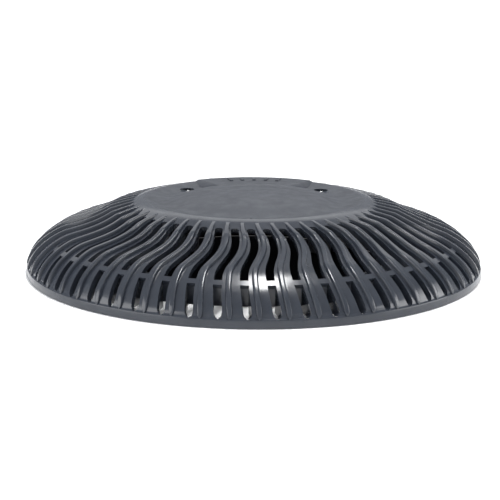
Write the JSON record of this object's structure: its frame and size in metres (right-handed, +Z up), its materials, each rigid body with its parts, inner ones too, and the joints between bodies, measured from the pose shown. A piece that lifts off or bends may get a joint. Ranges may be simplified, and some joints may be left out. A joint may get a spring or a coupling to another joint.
{
  "type": "floor drain grate",
  "caption": "Low domed round drain grate with wavy slots and raised fins, held by recessed screws on a flat mounting ring with a gasket.",
  "frame": {"origin": "on the grate's axis, at the level of the floor that its rim and gasket stand on", "axes": "+Z up along the grate's axis, +Y towards the plain raised pad and the screws, +X to the right seen from the front"},
  "size_m": [0.286, 0.286, 0.0489],
  "materials": {
    "cover_plastic": "semi-gloss moulded charcoal",
    "ring_plastic": "satin moulded charcoal",
    "gasket_rubber": "matt",
    "insert_brass": "turned",
    "screw_steel": "bright stainless",
    "keeper_rubber": "matt"
  },
  "bodies": {
    "mounting_ring": {"mounting_ring": "ring_plastic", "ring_gasket": "gasket_rubber", "thread_insert_left": "insert_brass", "thread_insert_right": "insert_brass"},
    "cover": {"grate_cover": "cover_plastic"},
    "washer_left": {"screw_washer_left": "screw_steel"},
    "screw_left": {"cover_screw_left": "screw_steel", "screw_keeper_left": "keeper_rubber"},
    "washer_right": {"screw_washer_right": "screw_steel"},
    "screw_right": {"cover_screw_right": "screw_steel", "screw_keeper_right": "keeper_rubber"}
  },
  "joints": [
    {"name": "cover_lift", "type": "slide", "parent": "mounting_ring", "child": "cover", "axis": [0, 0, 1], "range_m": [0, 0.06]},
    {"name": "washer_left_rise", "type": "slide", "parent": "cover", "child": "washer_left", "axis": [0, 0, 1], "range_m": [0, 0.0064]},
    {"name": "screw_left_turn", "type": "hinge", "parent": "washer_left", "child": "screw_left", "pos_m": [-0.044, 0.033, 0.028], "axis": [0, 0, 1], "range_deg": [0, 2880]},
    {"name": "washer_right_rise", "type": "slide", "parent": "cover", "child": "washer_right", "axis": [0, 0, 1], "range_m": [0, 0.0064]},
    {"name": "screw_right_turn", "type": "hinge", "parent": "washer_right", "child": "screw_right", "pos_m": [0.044, 0.033, 0.028], "axis": [0, 0, 1], "range_deg": [0, 2880]}
  ],
  "couplings": [
    {"joint": "screw_left_turn", "follows": "washer_left_rise", "rad_per_m": 7853.9},
    {"joint": "screw_right_turn", "follows": "washer_right_rise", "rad_per_m": 7853.9}
  ]
}
